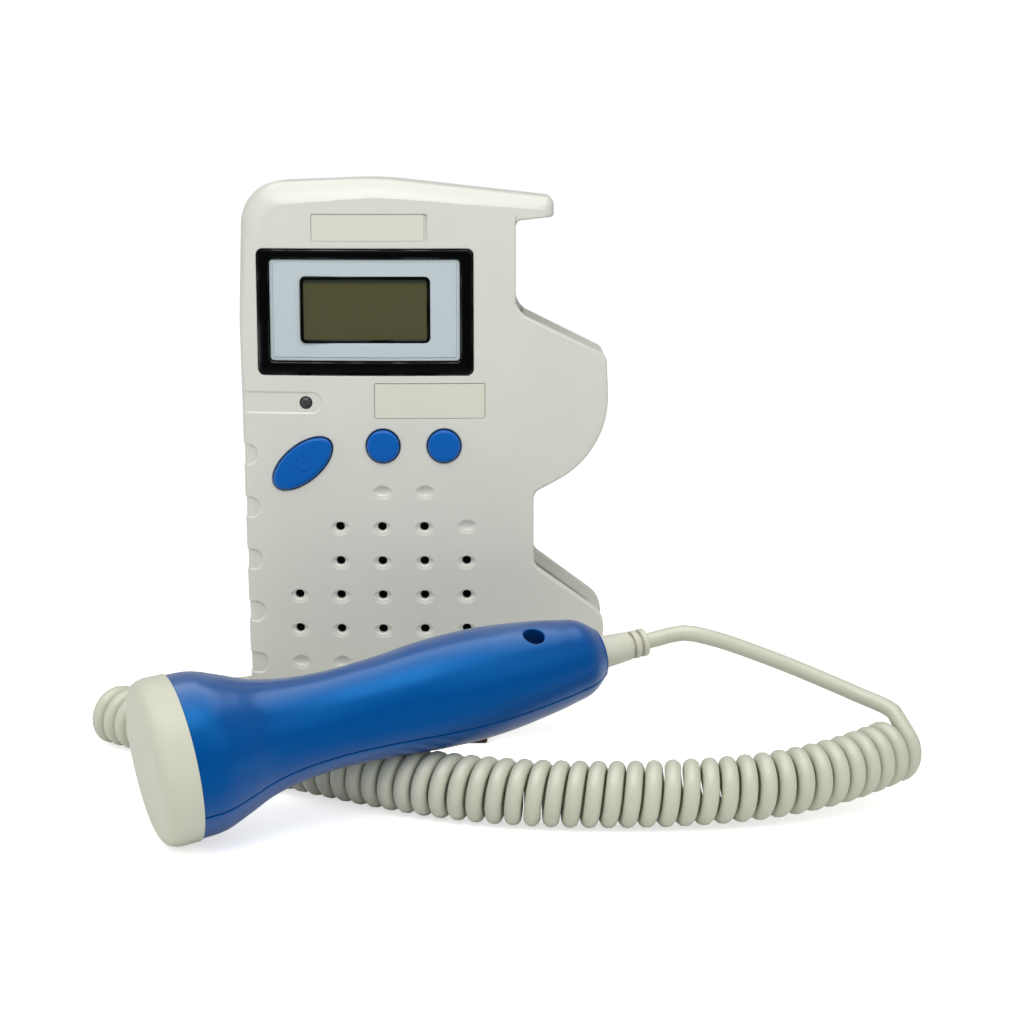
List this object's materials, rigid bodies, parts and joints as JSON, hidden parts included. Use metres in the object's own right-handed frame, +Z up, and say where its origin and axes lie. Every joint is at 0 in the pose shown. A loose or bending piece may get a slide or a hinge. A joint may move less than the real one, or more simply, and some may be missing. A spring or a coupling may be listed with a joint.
{
  "type": "fetal doppler monitor",
  "caption": "Handheld fetal heart monitor standing on its base, with display, push buttons, speaker grille and side dock, and its ultrasound probe on a curly cord.",
  "frame": {"origin": "middle of the base of the hand unit and probe together, on the surface they stand on", "axes": "+Z up, +Y towards the back of the hand unit, +X towards its docking side"},
  "size_m": [0.234, 0.1448, 0.1669],
  "materials": {
    "case_white": "satin",
    "blue_plastic": "semi gloss",
    "button_blue": "semi gloss",
    "cream_plastic": "satin",
    "cream_rubber": "satin",
    "cord": "satin",
    "rim_black": "high gloss",
    "mask": "gloss",
    "dark_plastic": "matte",
    "lcd": "semi gloss",
    "plate": "satin",
    "lamp": "gloss",
    "board": "satin",
    "cloth": "matte",
    "frame_metal": "satin",
    "paper": "matte",
    "magnet": "satin",
    "cell": "semi gloss",
    "contact": "satin",
    "screw": "satin",
    "foot": "matte",
    "transducer": "satin",
    "backing": "matte"
  },
  "bodies": {
    "unit": {"front_shell": "case_white", "rear_shell": "case_white", "case_screw_1": "screw", "case_screw_2": "screw", "case_screw_3": "screw", "case_screw_4": "screw", "foot_1": "foot", "foot_2": "foot", "foot_3": "foot", "foot_4": "foot", "display_rim": "rim_black", "display_mask": "mask", "display_holder": "dark_plastic", "lcd_glass": "lcd", "title_plate": "plate", "blank_plate": "plate", "power_lamp": "lamp", "left_switch": "dark_plastic", "right_switch": "dark_plastic", "power_switch": "dark_plastic", "main_board": "board", "speaker_cloth": "cloth", "speaker_frame": "frame_metal", "speaker_cone": "paper", "speaker_magnet": "magnet", "lower_cell": "cell", "upper_cell": "cell", "left_contact": "contact", "right_contact": "contact", "unit_cord_grip": "cream_rubber", "probe_upper_shell": "blue_plastic", "probe_lower_shell": "blue_plastic", "probe_screw": "screw", "probe_cap": "cream_plastic", "transducer_disc": "transducer", "acoustic_backing": "backing", "probe_board": "board", "probe_cord_grip": "cream_rubber", "probe_lead": "cord", "curly_cord": "cord", "unit_lead": "cord"},
    "left_button": {"left_button": "button_blue"},
    "right_button": {"right_button": "button_blue"},
    "power_button": {"power_button": "button_blue"},
    "battery_door": {"battery_door": "case_white"}
  },
  "joints": [
    {"name": "left_button_press", "type": "slide", "parent": "unit", "child": "left_button", "axis": [0, 1, 0], "range_m": [0, 0.001], "stiffness_N_per_m": 350},
    {"name": "right_button_press", "type": "slide", "parent": "unit", "child": "right_button", "axis": [0, 1, 0], "range_m": [0, 0.001], "stiffness_N_per_m": 350},
    {"name": "power_button_press", "type": "slide", "parent": "unit", "child": "power_button", "axis": [0, 1, 0], "range_m": [0, 0.001], "stiffness_N_per_m": 350},
    {"name": "battery_door_hinge", "type": "hinge", "parent": "unit", "child": "battery_door", "pos_m": [-0.00645, 0.07242, 0.0068], "axis": [-1, 0, 0], "range_deg": [0, 75]}
  ]
}
